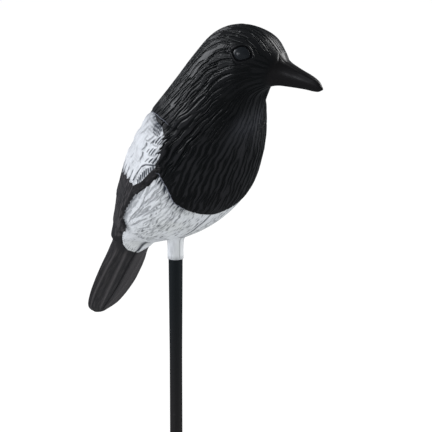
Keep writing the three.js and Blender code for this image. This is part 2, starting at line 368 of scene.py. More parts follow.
# Each region: first and last ring, degrees from and to, then the strands' pitch, length, width, depth, lean,
# and the random shares of their places and leans
STRAND_REGIONS = [
    (4.8, 7.4, 1, 44, 2.4, 30, 2.5, 0.8, forehead_lean, 0.1, 0.01),      # forehead
    (7.2, 8.0, 1, 56, 1.9, 22, 2.2, 0.8, 0.0, 0.15, 0.03),               # crown
    (4.7, 7.6, 44, 120, 1.7, 24, 2.0, 0.4, sweep, 0.14, 0.05),           # face
    (4.9, 8.2, 120, 179, 1.8, 28, 2.4, 0.75, 0.0, 0.14, 0.05),            # chin
    (7.7, 12.0, 1, 60, 2.1, 21, 2.9, 1.45, 0.05, 0.2, 0.08),              # nape
    (7.9, 12.0, 60, 92, 2.1, 22, 2.9, 1.25, 0.05, 0.2, 0.08),             # side of the neck
    (7.0, 9.4, 80, 125, 1.7, 25, 1.7, 0.65, 0.0, 0.16, 0.05),             # cheek
    (9.2, 11.6, 92, 125, 2.1, 29, 2.8, 1.05, 0.0, 0.16, 0.05),            # shoulder
    (7.6, 10.4, 125, 179, 1.7, 30, 1.8, 1.1, 0.0, 0.14, 0.04),           # throat
    (10.2, 14.4, 125, 179, 1.7, 32, 1.8, 1.00, 0.0, 0.14, 0.05),          # breast
    (11.4, 14.0, 93, 125, 1.9, 34, 2.1, 1.5, 0.0, 0.14, 0.05),           # breast beside the wing
    (13.2, 16.6, 103, 128, 2.4, 27, 3.1, 0.95, flank_lean, 0.35, 0.05),   # flank
    (13.9, 17.0, 126, 152, 2.3, 20, 2.8, 0.55, flank_lean, 0.35, 0.06),   # lower flank
    (14.4, 18.0, 150, 179, 2.3, 14, 2.6, 0.4, -0.05, 0.35, 0.1),        # belly
    (16.4, 18.6, 100, 150, 2.4, 15, 2.6, 0.3, 0.0, 0.35, 0.06),          # vent
    (12.0, 18.6, 1, 30, 2.4, 24, 3.4, 0.9, 0.0, 0.3, 0.05),               # back
]
groove = np.zeros_like(RING)
for region in STRAND_REGIONS:
    strands(groove, *region)
bare = fall(RING, 18.8, 19.4) * rise(RING + 0.55 * bump(DOWN, 88, 38), 4.5, 4.9)
beside_patch = rise(DOWN - chain(PATCH_LOWER, RING), 1.0, 4.0) * fall(RING, 13.3, 13.9)
groove *= bare * rise(almond, 1.45, 1.85) * (1 - 0.85 * wing * rise(RING, 12.1, 12.5) * (1 - beside_patch))

# Maps of the wings' relief and of the paint
feather = np.zeros_like(RING)      # raised feathers
ink_and_shade = np.zeros_like(RING)          # dark paint marks and painted shade on the white parts: gaps, ticks, specks, shadows and darker grooves
streaks_and_highlights = np.zeros_like(RING)      # lighter streaks on the flight feathers and the tail, partly painted highlights
gaps = np.zeros_like(RING)         # dark gaps between the barbs of the white patch
barbs = np.zeros_like(RING)        # white barbs that stand out over the black beside the patch

# How strokes end: a tick narrows towards its end, a dab stays broad
TICK = {"start": 0.4, "tip": 0.5}
DAB = {"start": 0.5, "tip": 0.8}

# White fingers at the rear of the patch, degrees, and how far their gaps lie beside them
FINGERS = (45, 53, 61, 69, 77, 85.3, 92.2)
HALF_FINGER = 3.9
# Rounded feathers in front of them: ring, degrees, length and width
ROUNDED_FEATHERS = ((12.55, 70, 16, 14), (12.75, 84, 17, 15), (13.2, 75, 17, 15), (13.35, 88, 16, 12),
                    (12.8, 55, 17, 15), (13.35, 62, 17, 15), (13.0, 42, 17, 14), (13.6, 50, 16, 14))
# Dark gaps between barbs: both ends, width and strength. Three tiers, then the fanned feather's,
# which run towards the tail.
BARB_GAPS = [
    ((12.75, 92.0), (12.43, 92.7), 1.2, 0.5), ((12.69, 93.3), (12.26, 94.0), 1.3, 0.6),
    ((12.56, 95.9), (12.12, 95.9), 1.8, 1.0), ((12.5, 98.6), (12.18, 99.1), 1.7, 1.0),
    ((12.41, 101.9), (12.1, 101.6), 1.6, 1.0),
    ((13.12, 93.5), (12.88, 94.2), 1.3, 0.5), ((13.1, 96.5), (12.68, 97.5), 1.3, 0.6),
    ((13.03, 99.1), (12.62, 99.5), 1.4, 0.7), ((12.95, 101.4), (12.5, 101.1), 1.6, 0.95),
    ((12.87, 103.4), (12.48, 104.2), 2.0, 1.0),
    ((13.45, 96.9), (13.14, 99.3), 1.3, 0.45), ((13.32, 101.2), (12.96, 103.8), 1.6, 0.9),
    ((13.22, 105.4), (12.76, 106.0), 2.3, 1.0),
    ((13.22, 107.2), (13.36, 110.2), 1.6, 1.0), ((13.33, 105.2), (13.5, 109.2), 1.6, 1.0),
    ((13.43, 103.3), (13.62, 107.8), 1.7, 1.0), ((13.53, 101.8), (13.75, 106.6), 1.6, 0.95),
    ((13.64, 100.8), (13.88, 105.8), 1.8, 1.0), ((13.76, 100.0), (13.98, 104.8), 1.6, 0.95),
    ((13.9, 99.2), (14.12, 104.0), 1.8, 1.0), ((14.03, 98.8), (14.24, 102.8), 1.6, 0.95),
    ((14.18, 98.2), (14.33, 101.6), 1.5, 0.9),
]
# White barbs: both ends, width, strength and how far they bend
WHITE_BARBS = [
    ((12.53, 94.6), (12.2, 94.6), 1.6, 1.0, 0.2), ((12.47, 97.5), (11.98, 98.0), 1.2, 0.85, 0.2),
    ((12.44, 99.3), (12.14, 99.7), 1.1, 0.6, 0.1), ((12.42, 101.3), (12.03, 101.5), 1.0, 0.4, 0.1),
    ((12.48, 100.9), (12.3, 102.6), 1.3, 0.8, 0.0), ((12.91, 101.5), (12.28, 102.7), 1.6, 1.0, 0.3),
    ((12.74, 102.5), (12.48, 105.3), 1.0, 0.45, 0.1), ((12.84, 104.0), (12.7, 105.3), 1.2, 0.9, 0.0),
    ((13.22, 103.8), (12.75, 105.7), 1.6, 1.0, 0.2), ((13.16, 107.3), (12.87, 107.9), 1.3, 0.8, 0.2),
    ((12.91, 107.9), (12.6, 106.5), 1.2, 0.8, 0.0),
]
# Painted shade: soft grey bands between the tiers, crescent shadows and rims of rounded feathers: places,
# width, strength
SHADED_PATHS = [
    (((12.66, 94.2), (12.58, 97.9), (12.45, 101.4)), 2.6, 0.52),
    (((13.12, 96.3), (12.97, 101.2), (12.83, 104.1)), 2.4, 0.45),
    (((13.65, 96.3), (13.47, 99.1), (13.31, 103.6), (13.11, 109.8)), 2.0, 0.95),
    (((12.83, 88.4), (12.94, 89.5)), 3.0, 0.95), (((12.92, 89.4), (13.2, 87.7)), 2.4, 0.65),
    (((13.23, 90.3), (13.34, 91.8)), 2.8, 0.95), (((13.3, 91.8), (13.55, 91.7)), 2.5, 0.8),
    (((13.52, 91.7), (13.72, 89.6)), 2.4, 0.35),
    (((12.82, 85.2), (12.74, 88.4), (12.59, 89.0), (12.41, 89.7)), 2.4, 0.62),
    (((12.42, 75.0), (12.7, 74.4), (13.02, 69.2)), 3.0, 0.42), (((12.62, 83.0), (12.84, 83.4)), 3.4, 0.3),
    (((13.3, 79.0), (13.62, 80.5)), 3.4, 0.2), (((13.85, 84.5), (14.02, 84.0)), 2.4, 0.45),
    (((13.72, 77.5), (13.95, 77.0)), 2.6, 0.35),
]
FAN_OUTLINE = ((14.42, 94.6), (14.09, 95.1), (13.69, 96.1), (13.55, 98.1), (13.38, 101.9), (13.11, 110.1))
FAN_SHAFT = ((14.5, 97.4), (14.25, 97.2), (14.00, 97.4), (13.67, 98.9), (13.48, 100.6), (13.45, 103.4))


def draw_patch(side):
    """The white patch of a wing: fingers, rounded feathers, barbs and the gaps between them, and the fan,
    with painted shade between and under them.
    """
    for d in FINGERS:
        tip = chain(PATCH_TIPS, d)
        ring_mm = along_mm[cell(tip, d, 1)]
        stroke(feather, tip - 13 / ring_mm, d, side, 27, 7.2, 1.0, 0.0, 0.3, 0.3, 0.8, 0)
        # painted shade in the gap beside each finger
        stroke(ink_and_shade, tip - 9 / ring_mm, d + HALF_FINGER, side, 19, 2.1, 0.8, 0.0, 0.2, 0.4, 0.9, 0)
    for r, d, length, width in ROUNDED_FEATHERS:
        stroke(feather, r, d, side, length, width, 0.9, 0.05, 0.0, 0.45, 0.9, 0)
        # painted crescent shadow at the rear end of each rounded feather
        end = r + 0.42 * length / along_mm[cell(r, d, 1)]
        stroke(ink_and_shade, end, d + 4, side, 5.5, 2.4, 0.42, 0.9, -0.6, 0.5, 0.8, 0)
    for start, end, width, amount in BARB_GAPS:
        wide, bend = (1.9, 0.0) if start[0] < end[0] else (1.35, 0.2)
        line(gaps, start, end, side, wide * width, min(1.3 * amount, 1.0), bend, 0.12, 0.7)
        line(feather, start, end, side, width, -0.9 * amount, bend)
    for start, end, width, amount, bend in WHITE_BARBS:
        line(barbs, start, end, side, max(1.4 * width, 1.5), amount, bend, 0.1, 0.5)
    for places, width, amount in SHADED_PATHS:
        path(ink_and_shade, places, side, width, amount)
    path(gaps, FAN_OUTLINE, side, 1.7, 0.8)
    path(barbs, FAN_SHAFT, side, 1.9, 1.0)


def draw_flight_feathers(side):
    """Rows of long dark flight feathers, each with a lighter streak, a painted highlight."""
    for row, ring in enumerate(np.arange(14.75, 17.9, 0.42)):
        for d in np.arange(14, 100, 3.1):
            d += 1.55 * (row % 2) + normal(0, 0.25)
            if chain(WING_UPPER, ring) + 1 < d < chain(WING_LOWER, ring) - 1:
                stroke(feather, ring, d, side, 30, 2.7, 0.75 * uniform(0.7, 1.1), normal(0, 0.02),
                       0.2, 0.3, 0.7, 0.4)
                stroke(streaks_and_highlights, ring, d + uniform(-0.5, 0.5), side, uniform(12, 30),
                       uniform(1.1, 1.9), uniform(0.35, 1.0), wave=0.4, **TICK)


def draw_light_spots(side):
    """Lighter spots on the brown band, and lighter streaks, painted highlights, on the clump of feathers
    where the wing ends.
    """
    for _ in range(26):
        r = uniform(13.0, 15.2)
        d = chain(WING_LOWER, r) - uniform(0.5, 5.0)
        stroke(streaks_and_highlights, r, d, side, uniform(2.5, 6), uniform(0.8, 1.6), uniform(0.2, 0.8),
               normal(-0.5, 0.3), wave=0, **DAB)
    ticks(streaks_and_highlights, side, 22, (17.2, 18.7), (90, 110), (5, 10), (1.6, 3.0), (0.4, 1.0), (0.25, 0.2),
          wave=0, **DAB)


for side in SIDES:
    draw_patch(side)
    draw_flight_feathers(side)
    draw_light_spots(side)

# Wavy shadow along the patch's front edge
front_shade = bump((RING - chain(PATCH_FRONT, DOWN)) * BREAST_RING_MM, 0.6, 4.6)
front_shade = front_shade * (0.8 + 0.2 * np.sin(ROUND * 1.5 + ALONG * 0.8))
ink_and_shade = np.maximum(ink_and_shade, 0.95 * front_shade * (0.45 + 0.55 * rise(DOWN, 56, 70)) * fall(DOWN, 90, 96))

# Net of dark cells with thin white walls at the patch's front corner, in millimetres from its middle
net_x, net_y = (RING - 12.16) * WING_RING_MM, (DOWN - 87.0) * WING_DEGREE_MM
net_place = np.hypot(net_x / 5.6, net_y / 6.6)
cells = np.abs(np.sin(np.pi * (net_y * 0.91 - net_x * 0.41) / 1.75))
cells *= 0.4 + 0.6 * np.abs(np.sin(np.pi * (net_x * 0.91 + net_y * 0.41) / 3.0))
gaps = np.maximum(gaps, 0.95 * fall(net_place, 0.75, 1.05) * rise(cells, 0.3, 0.62))
feather -= 0.5 * fall(net_place, 0.8, 1.1) * rise(cells, 0.3, 0.6)

# Soft shadows on the patch: ring, degrees, reach in millimetres and strength
PATCH_SHADOWS = ((12.12, 80, 6.5, 0.95), (12.16, 72, 5.0, 0.85), (12.42, 65, 5.0, 0.55),
                 (12.36, 58, 5.5, 0.35), (12.4, 79, 5.5, 0.6), (13.75, 86, 5.0, 0.22),
                 (13.0, 84, 5.0, 0.12), (12.2, 86, 5.5, 0.65))
for r, d, reach, amount in PATCH_SHADOWS:
    away = np.hypot((RING - r) * WING_RING_MM, (DOWN - d) * WING_DEGREE_MM) / reach
    ink_and_shade = np.maximum(ink_and_shade, amount * np.exp(-away**2) * (0.72 + 0.28 * np.sin(ALONG * 1.9 + ROUND * 0.7)))
feather *= rise(inside_wing, -0.3, 1.0) * rise(RING, 11.75, 12.0)

# Paint edges as millimetres inside the white parts
jagged = 0.6 * np.sin(ROUND * 2.1 + 1.3 * np.sin(ALONG * 0.5)) + 0.5 * np.sin(ROUND * 3.7 + ALONG * 0.3)
bib_mm = in_mm(chain(BIB_EDGE, DOWN) - RING)
wing_mm = in_mm(DOWN - lower_edge - 1.0)
vent_mm = in_mm(undertail_end - RING)
wing_jag = 0.55 * jagged * fall(RING, 14.8, 15.6)
wing_waves = 0.9 * rise(RING, 14.6, 15.4) * np.sin(ALONG * 0.9 + 2 * np.sin(ROUND * 1.1))
belly_white = np.minimum.reduce([
    -bib_mm + 0.12 * jagged,
    wing_mm + wing_jag + wing_waves,
    vent_mm + 0.25 * jagged,
])
finger = np.minimum.reduce([np.abs(DOWN - d) for d in (*FINGERS, 97.6)]) / HALF_FINGER
tips = chain(PATCH_TIPS, DOWN) + 0.1 - 0.22 * np.clip(finger, 0, 1) ** 2
patch_white = np.minimum.reduce([
    in_mm(RING - chain(PATCH_FRONT, DOWN)),
    in_mm(chain(PATCH_LOWER, RING) - DOWN) + 0.2 * jagged,
    in_mm(tips - RING),
    in_mm(DOWN - 38 - 4 * (RING - 13)) + 0.6 * jagged,
])
white_mm = np.maximum(belly_white, patch_white)
white_mm = np.where(RING < 15.2, np.maximum(white_mm, 3.0 * rise(barbs, 0.05, 0.45) - 1.0), white_mm)
ink_and_shade = np.maximum(ink_and_shade * (1 - 0.8 * barbs), rise(gaps, 0.05, 0.75) * (1 - 0.9 * barbs))
dim_barbs = fall(barbs, 0.35, 0.8) * rise(barbs, 0.05, 0.2) * (patch_white < 0.2)
ink_and_shade = np.maximum(ink_and_shade, 0.55 * dim_barbs)
feather += 0.8 * barbs

# Pale rubbed lines: neck feathers over the wing and rear edge of the black breast; and a painted sheen that
# makes the throat paler
nape_mm = in_mm(RING - cape_rear)
nape_line = between(DOWN, 46, 56, 88, 95)
bib_line = fall(DOWN, 143, 156) * rise(DOWN, 112, 115)
throat_sheen = 0.085 * bump(RING, 9.2, 1.5) * rise(DOWN, 138, 165)

# Dark wash: beside the breast, short ticks on the belly, fan of the undertail, specks
SPECKS = ((14.78, 127.4, 2.4, 1.0), (15.08, 129.4, 1.4, 0.9), (15.75, 101.6, 2.2, 0.7),
          (15.0, 104, 1.8, 0.55), (13.92, 118.4, 1.8, 0.5), (16.27, 138, 2.2, 0.5), (17.98, 136, 2.8, 0.6))
streaky = 0.5 + 0.5 * np.sin(2 * np.pi * (ROUND / 2.7 + 0.5 * np.sin(ALONG / 4)))


def draw_belly(side):
    """Ticks on belly and flank, the larger specks, and the rim of the undertail."""
    ticks(ink_and_shade, side, 230, (14.4, 17.6), (124, 178), (5, 11), (1.0, 1.6), (0.3, 1.0), (0.0, 0.07),
          wave=0, **TICK)
    ticks(ink_and_shade, side, 70, (14.3, 17.6), (102, 130), (3, 8), (0.8, 1.2), (0.15, 0.5), (-0.1, 0.1), **TICK)
    for r, d, size, amount in SPECKS:
        stroke(ink_and_shade, r, d, side, 1.6 * size, size, amount, 0.3, **DAB)
    for d in np.arange(110, 178, 3.4):
        r = float(chain(UNDERTAIL_END, d)) - uniform(0.12, 0.3)
        stroke(ink_and_shade, r, d + normal(0, 0.6), side, uniform(5, 9), 0.9, uniform(0.3, 0.75), **TICK)
        stroke(groove, r, d, side, 8, 2.2, 0.4, **TICK)


def draw_undertail(side):
    """Fine grooves that fan out over the undertail."""
    for _ in range(46):
        r, d = uniform(18.0, 19.25), uniform(112, 176)
        stroke(ink_and_shade, r, d, side, uniform(5, 11), uniform(0.8, 1.2), uniform(0.12, 0.42),
               normal(0.0, 0.06), **TICK)
        stroke(groove, r, d, side, uniform(7, 12), 1.8, 0.28, **TICK)


for side in SIDES:
    draw_belly(side)
for side in SIDES:
    draw_undertail(side)
slash = bump(DOWN - chain(SLASH, RING), 0, 5.6) * between(RING, 17.95, 18.15, 19.45, 19.7) * (ANGLE > 0)
ink_and_shade = np.maximum(ink_and_shade, 0.95 * slash)

# Darker in the grooves of the flank, beside the black breast and under the wing, with painted shade in the
# corner by the breast
cavity = rise(groove, 0.12, 0.7)
near_bib = fall(-bib_mm, 1.5, 12.5) * between(DOWN, 104, 110, 145, 168)
corner_shade = fall(np.hypot((RING - 13.4) * BREAST_RING_MM, (DOWN - 113) * BREAST_DEGREE_MM), 2, 20)
under_wing = fall(wing_mm, 0.3, 7.5) * between(RING, 14.4, 15.0, 17.2, 17.8)
flank_darkening = np.maximum.reduce([
    cavity * (0.3 * fall(DOWN, 138, 160) + 0.16) * fall(RING, 17.6, 18.6),
    (0.3 + 0.7 * cavity + 0.15 * fall(-bib_mm, 0.5, 3.0))
    * np.clip(0.95 * near_bib + 0.2 * corner_shade, 0, 0.95),
    under_wing * (0.52 + 0.34 * streaky),
])
ink_and_shade = np.maximum(ink_and_shade, flank_darkening * (RING > 12.9))
scallop = 0.14 * np.abs(np.sin(np.pi * DOWN / 9.0))
belly_edge_mm = (RING - chain(BELLY_FEATHERS_END, DOWN) - scallop) * WING_RING_MM
# Painted shade: a thin darker line just past the edge of the belly feathers
ink_and_shade = np.maximum(ink_and_shade, 0.2 * bump(belly_edge_mm, 1.0, 1.6) * between(DOWN, 108, 114, 158, 166))


# Mould seams: down the breast, under the belly and along the tail
def beside(degrees):
    """Millimetres round the skin from a line that runs at these degrees; they go on past the belly."""
    return np.radians(np.where(ANGLE > 0, DOWN, 360 - DOWN) - degrees) * around_mm


beside_tail_seam = beside(chain(TAIL_SEAM, RING))
breast_seam = bump(beside(180), 0, 0.35) * between(RING, 9.0, 10.0, 14.3, 14.7)
belly_seam = bump(beside(chain(BELLY_SEAM, RING)), 0, 0.8) * between(RING, 14.2, 14.4, 16.4, 16.6)
tail_seam = bump(beside_tail_seam, 0, 0.75) * between(RING, 19.3, 19.6, 24.2, 24.8)
beyond_seam = rise(beside_tail_seam, 0.5, 5.0) * rise(RING, 19.4, 19.8) * (ANGLE < 0)
seam = np.maximum(belly_seam, tail_seam)
ink_and_shade = np.maximum(ink_and_shade, seam)

# Beak: the edges of its upper ridge and its lower rim, and the notched feather edge
beak = between(RING, 0.6, 1.6, 3.9, 4.6)
beak_form = beak * (0.4 * bump(DOWN, 33, 12) + 0.3 * bump(DOWN, 148, 12))
beak_edge = chain(BEAK_EDGE, DOWN)
feather_edge = 0.3 * rise(RING, beak_edge - 0.1, beak_edge + 0.1) * fall(RING, 5.2, 6.2)
feather_edge -= 0.25 * bump((RING - beak_edge) * BEAK_RING_MM, -1.4, 0.8) * between(DOWN, 12, 20, 45, 60)
ridge_crease = bump(DOWN - chain(BEAK_RIDGE, RING), 0, 5.0) * between(RING, 1.4, 2.4, 4.1, 4.5)
beak_form -= 0.14 * ridge_crease


def draw_tail(side):
    """Lighter streaks along the tail."""
    for ring in np.arange(20.0, 24.6, 0.5):
        for d in np.arange(4, 178, 7.5):
            stroke(streaks_and_highlights, ring + uniform(-0.2, 0.2), d + normal(0, 2), side, uniform(10, 24),
                   uniform(0.8, 1.6), uniform(0.1, 0.5), wave=0.2, **TICK)


for side in SIDES:
    draw_tail(side)

# Painted highlights along the quills, a lighter tail beyond its seam, grooves of the tail, and the edges of
# wing, breast and belly
quill_line = np.maximum(bump(DOWN, outer_quill, 3.6), bump(DOWN, inner_quill, 4.2))
streaks_and_highlights = np.maximum(streaks_and_highlights, 0.8 * quill_line * between(RING, 19.4, 20.0, 24.0, 24.8))
streaks_and_highlights = np.maximum(streaks_and_highlights, 0.5 * beyond_seam)
streaks_and_highlights *= 1 - 0.9 * tail_seam
slanted = ALONG / 1.9 + np.abs(((DOWN + 16) % 32) - 16) / 3.0
tail_barbs = 0.05 * rise(RING, 19.7, 20.3) * np.sin(2 * np.pi * slanted)
front_groove = 0.4 * bump(in_mm(DOWN - lower_edge), 0.9, 1.5)
front_groove *= between(RING, 11.6, 11.9, 13.0, 14.3)
bib_step = 0.35 * between(bib_mm, -0.6, 0.4, 4, 14) * between(DOWN, 108, 116, 145, 165)
wing_tips = 1.1 * between(RING, 17.2, 18.6, 19.22, 19.34) - 1.1 * between(RING, 19.22, 19.36, 19.5, 20.1)
wing_tips = wing_tips * fall(DOWN, 96, 114)
belly_feathers = 0.5 * fall(belly_edge_mm, -0.3, 0.5) * rise(belly_edge_mm, -9, -1)

# All relief together, in millimetres out from the smooth skin
relief = (forms + wing_tips + eyelids + 0.3 * barbs_behind + beak_form + feather_edge + feather + tail_barbs
          + bib_step + belly_feathers - groove + 0.35 * rise(groove, 0, 0.3) - 1.2 * front_groove - 0.5 * seam
          - 0.35 * breast_seam)
relief_share = np.clip(0.5 + 0.5 * (feather - groove), 0, 1)

outward = np.cross(np.gradient(base, axis=1), -np.gradient(base, axis=0))
outward /= np.maximum(np.linalg.norm(outward, axis=-1, keepdims=True), 1e-9)
surface = base + outward * relief[..., None]
around_way = np.roll(surface, -1, 1) - np.roll(surface, 1, 1)
surface_normal = np.cross(around_way, -np.gradient(surface, axis=0))
surface_normal /= np.maximum(np.linalg.norm(surface_normal, axis=-1, keepdims=True), 1e-9)


def sample(field, ring, angle):
    """Value of a map field at ring numbers and angles, between its cells."""
    x = np.clip(ring / ROW_STEP, 0, MAP_ROWS - 1.001)
    y = (angle + np.pi) / COLUMN_STEP - 0.5
    i, j = np.floor(x).astype(int), np.floor(y).astype(int)
    a, b = x - i, y - j
    if field.ndim == 3:
        a, b = a[:, None], b[:, None]
    j0, j1 = j % MAP_COLUMNS, (j + 1) % MAP_COLUMNS
    return ((1 - a) * ((1 - b) * field[i, j0] + b * field[i, j1])
            + a * ((1 - b) * field[i + 1, j0] + b * field[i + 1, j1]))


# The bird's two moulded halves
def row_rings():
    """Ring number and number of intervals of each row of a half, from the beak tip to the tail tip."""
    stretches = [(0, 4.0, 30, 80), (4.0, 4.4, 4, 160), (4.4, 8.6, 74, 320), (8.6, 12.0, 54, 320),
                 (12.0, 14.7, 76, 320), (14.7, 19.8, 58, 320), (19.8, LAST_RING, 56, 160)]
    rows = []
    for start, end, count, intervals in stretches:
        ends = np.interp((start, end), map_ring, length_mm)
        for s in np.linspace(*ends, count + 1)[:-1]:
            rows.append((float(np.interp(s, length_mm, map_ring)), intervals))
    return rows + [(float(LAST_RING), 160)]


def band(front, n, rear, m):
    """Triangles between two rows, each given by its first point and its intervals, once or twice as many."""
    j = np.arange(min(n, m))
    if n == m:
        a, b, c, d = front + j, front + j + 1, rear + j, rear + j + 1
        return [(a, c, b), (b, c, d)]
    if m == 2 * n:
        a, b, c, d, e = front + j, front + j + 1, rear + 2 * j, rear + 2 * j + 1, rear + 2 * j + 2
        return [(a, c, d), (a, d, b), (b, d, e)]
    a, b, c, d, e = rear + j, rear + j + 1, front + 2 * j, front + 2 * j + 1, front + 2 * j + 2
    return [(c, a, d), (a, b, d), (d, b, e)]


def half_skin(side):
    """Points, triangles, normals, ring numbers and angles of the half on one side (1 is the bird's right)."""
    rows = row_rings()
    ring = np.concatenate([np.full(intervals + 1, r) for r, intervals in rows])
    angle = np.concatenate([side * np.linspace(0, np.pi, intervals + 1) for _, intervals in rows])
    starts = np.concatenate([[0], np.cumsum([intervals + 1 for _, intervals in rows])])
    triangles = []
    for k in range(len(rows) - 1):
        triangles += band(starts[k], rows[k][1], starts[k + 1], rows[k + 1][1])
    triangles = np.vstack([np.stack(t, 1) for t in triangles])
    if side < 0:
        triangles = triangles[:, ::-1]
    points = sample(surface, ring, angle)
    # both ends close on a point in the middle of their last row
    for start, count, at_tail in ((starts[0], rows[0][1] + 1, False), (starts[-2], rows[-1][1] + 1, True)):
        middle = 0.5 * (sample(surface, np.array([ring[start]] * 2), np.array([0.0, np.pi]))).sum(0)
        j = np.arange(count - 1)
        a, b, centre = start + j, start + j + 1, np.full(count - 1, len(points))
        fan = np.stack((centre, b, a) if at_tail == (side > 0) else (centre, a, b), 1)
        points, triangles = np.vstack([points, middle]), np.vstack([triangles, fan])
        ring, angle = np.append(ring, ring[start]), np.append(angle, 0.5 * side * np.pi)
    normals = sample(surface_normal, ring, angle)
    normals[-2:] = [(0.0, -1.0, 0.0), (0.0, 0.6, -0.8)]
    return points, triangles, normals, ring, angle


def add_to_scene(name, data):
    thing = bpy.data.objects.new(name, data)
    bpy.context.scene.collection.objects.link(thing)
    return thing


def make_mesh(name, vertices, triangles, normals=None):
    mesh = bpy.data.meshes.new(name)
    mesh.vertices.add(len(vertices))
    mesh.vertices.foreach_set("co", (vertices * MM).astype(np.float32).ravel())
    mesh.loops.add(3 * len(triangles))
    mesh.loops.foreach_set("vertex_index", triangles.astype(np.int32).ravel())
    mesh.polygons.add(len(triangles))
    mesh.polygons.foreach_set("loop_start", np.arange(0, 3 * len(triangles), 3, dtype=np.int32))
    mesh.polygons.foreach_set("use_smooth", np.full(len(triangles), True))
    mesh.update(calc_edges=True)
    if normals is not None:
        mesh.normals_split_custom_set_from_vertices(normals.astype(np.float32))
    return add_to_scene(name, mesh)


def add_attribute(piece, name, values):
    attribute = piece.data.attributes.new(name, "FLOAT", "POINT")
    attribute.data.foreach_set("value", values.astype(np.float32))


# Painted shade round the eye, widest under the upper lid and in the lower lid's crease, with the dark tail
# seam
eye_shade_and_seam = np.maximum.reduce([
    bump(almond, 1.07, 0.07 + 0.06 * upper),
    0.4 * bump(almond, 1.62, 0.07) * lower_rear,
    0.8 * tail_seam,
])
PAINT_FIELDS = {
    "white_mm": np.clip(white_mm, -1, 2), "ink_and_shade": np.clip(ink_and_shade, 0, 1), "throat_sheen": throat_sheen, "streaks_and_highlights": streaks_and_highlights,
    "bib_mm": np.clip(bib_mm, -3, 3), "bib_line": bib_line, "nape_mm": np.clip(nape_mm, -3, 3),
    "nape_line": nape_line, "relief": relief_share, "wing": wing, "eye": fall(almond, 0.96, 1.04),
    "lid_shade_and_seam": eye_shade_and_seam,
}
halves = []
for name, side in (("skin_right", 1), ("skin_left", -1)):
    points, triangles, normals, ring, angle = half_skin(side)
    half = make_mesh(name, points, triangles, normals)
    for attribute, field in PAINT_FIELDS.items():
        add_attribute(half, attribute, sample(field, ring, angle))
    add_attribute(half, "ring", ring)
    add_attribute(half, "degrees", np.degrees(np.abs(angle)))
    add_attribute(half, "flow_x", np.interp(ring, map_ring, length_mm))
    add_attribute(half, "flow_y", np.degrees(angle) * BREAST_DEGREE_MM)
    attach(half, "root")
    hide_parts("magpie_body")
    halves.append(half)


def lathe(profile, segments):
    """Points and faces of a profile of (radius, height) turned about the vertical axis."""
    turn = np.arange(segments) / segments * 2 * np.pi
    circles = [np.stack([r * np.cos(turn), r * np.sin(turn), np.full(segments, z)], 1) for r, z in profile]
    j = np.arange(segments)
    quads = []
    for k in range(len(profile) - 1):
        a, b = k * segments + j, k * segments + (j + 1) % segments
        quads += [np.stack((a, b, b + segments), 1), np.stack((a, b + segments, a + segments), 1)]
    return np.vstack(circles), np.vstack(quads)


# The socket under the belly: bore, rounded rim, outer wall and the flare into the belly
socket_profile = [(BORE_RADIUS, 26), (BORE_RADIUS, 0.5), (BORE_RADIUS + 0.1, 0.1), (BORE_RADIUS + 0.25, 0),
                  (SOCKET_RADIUS - 0.25, 0), (SOCKET_RADIUS - 0.06, 0.1), (SOCKET_RADIUS, 0.4),
                  (SOCKET_RADIUS + 0.03, 4), (SOCKET_RADIUS + 0.12, 12), (SOCKET_RADIUS + 0.25, 15),
                  (7.3, 16.8), (7.9, 18.2), (8.9, 19.5), (10.5, 20.6), (12.5, 21.4)]
socket_points, socket_faces = lathe([(r, z + SOCKET_HEIGHT) for r, z in socket_profile], 128)
socket = make_mesh("socket", socket_points, socket_faces)
seam_line = np.exp(-((socket_points[:, 0] / 0.5) ** 2)) * (socket_points[:, 1] < 0)
SOCKET_PAINT = {"white_mm": 20, "relief": 0.5, "ring": 16.5, "degrees": 170}
for attribute in [*PAINT_FIELDS, "ring", "degrees"]:
    if attribute != "ink_and_shade":
        add_attribute(socket, attribute, np.full(len(socket_points), float(SOCKET_PAINT.get(attribute, 0))))
rim_line = fall(socket_points[:, 2] - SOCKET_HEIGHT, 0.15, 0.6)
add_attribute(socket, "ink_and_shade", np.maximum(0.04 + 0.45 * seam_line, 0.95 * rim_line))
add_attribute(socket, "flow_x", socket_points[:, 2])
add_attribute(socket, "flow_y", np.arctan2(socket_points[:, 0], socket_points[:, 1]) * 6)
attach(socket, "root")
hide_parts("magpie_body")


